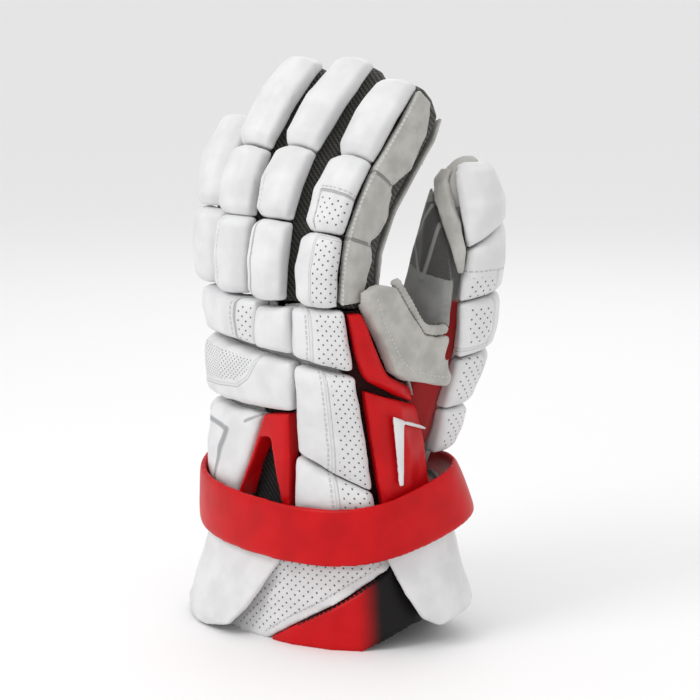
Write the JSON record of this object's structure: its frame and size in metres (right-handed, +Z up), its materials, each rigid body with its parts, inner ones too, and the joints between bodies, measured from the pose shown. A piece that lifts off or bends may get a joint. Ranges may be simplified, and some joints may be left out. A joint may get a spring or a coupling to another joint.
{
  "type": "lacrosse glove",
  "caption": "Left-hand lacrosse glove with segmented foam pads, suede palm, padded thumb, wrist cuff and closing strap, standing on its cuff.",
  "frame": {"origin": "below the middle of the bounding box, on the surface that the cuff rests on", "axes": "+Z up from the cuff to the fingertips, +X towards the thumb side, -Y towards the back of the hand"},
  "size_m": [0.1618, 0.1162, 0.284],
  "materials": {
    "white_leather": "smooth white synthetic leather over foam",
    "red_leather": "smooth red synthetic leather",
    "light_suede": "light grey suede",
    "grey_suede": "mid grey suede",
    "mesh_cloth": "charcoal ribbed mesh"
  },
  "bodies": {
    "root": {"hand_shell": "mesh_cloth", "knuckle_pad_ulnar": "white_leather", "knuckle_pad_middle": "white_leather", "knuckle_pad_index": "white_leather", "metacarpal_pad_ulnar": "white_leather", "metacarpal_pad_radial": "white_leather", "wrist_pad_radial": "white_leather", "wrist_pad_ulnar": "white_leather", "vent_frame": "red_leather", "side_roll": "red_leather", "radial_wrist_pad": "red_leather", "radial_trim": "white_leather", "index_sleeve": "mesh_cloth", "index_palm": "light_suede", "index_pad_proximal": "white_leather", "index_pad_middle": "white_leather", "index_pad_distal": "white_leather", "middle_sleeve": "mesh_cloth", "middle_palm": "light_suede", "middle_pad_proximal": "white_leather", "middle_pad_middle": "white_leather", "middle_pad_distal": "white_leather", "ring_sleeve": "mesh_cloth", "ring_palm": "light_suede", "ring_pad_proximal": "white_leather", "ring_pad_middle": "white_leather", "ring_pad_distal": "white_leather", "pinky_sleeve": "mesh_cloth", "pinky_palm": "light_suede", "pinky_pad_middle": "white_leather", "pinky_pad_distal": "white_leather", "index_side_suede": "light_suede", "web_patch": "light_suede", "web_welt": "light_suede", "thumb_sleeve": "grey_suede", "thumb_pad_tip": "white_leather", "thumb_pad_middle": "white_leather", "thumb_pad_lower": "white_leather", "thumb_pad_root": "white_leather", "thumb_pad_wrist": "white_leather", "palm_panel": "light_suede", "thumb_side_panel": "grey_suede", "thumb_edge_roll": "light_suede", "cuff_tongue": "white_leather", "cuff_hem": "red_leather", "palm_cuff": "white_leather", "cuff_flap_ulnar": "white_leather", "cuff_flap_radial": "white_leather", "strap": "red_leather"}
  },
  "joints": []
}
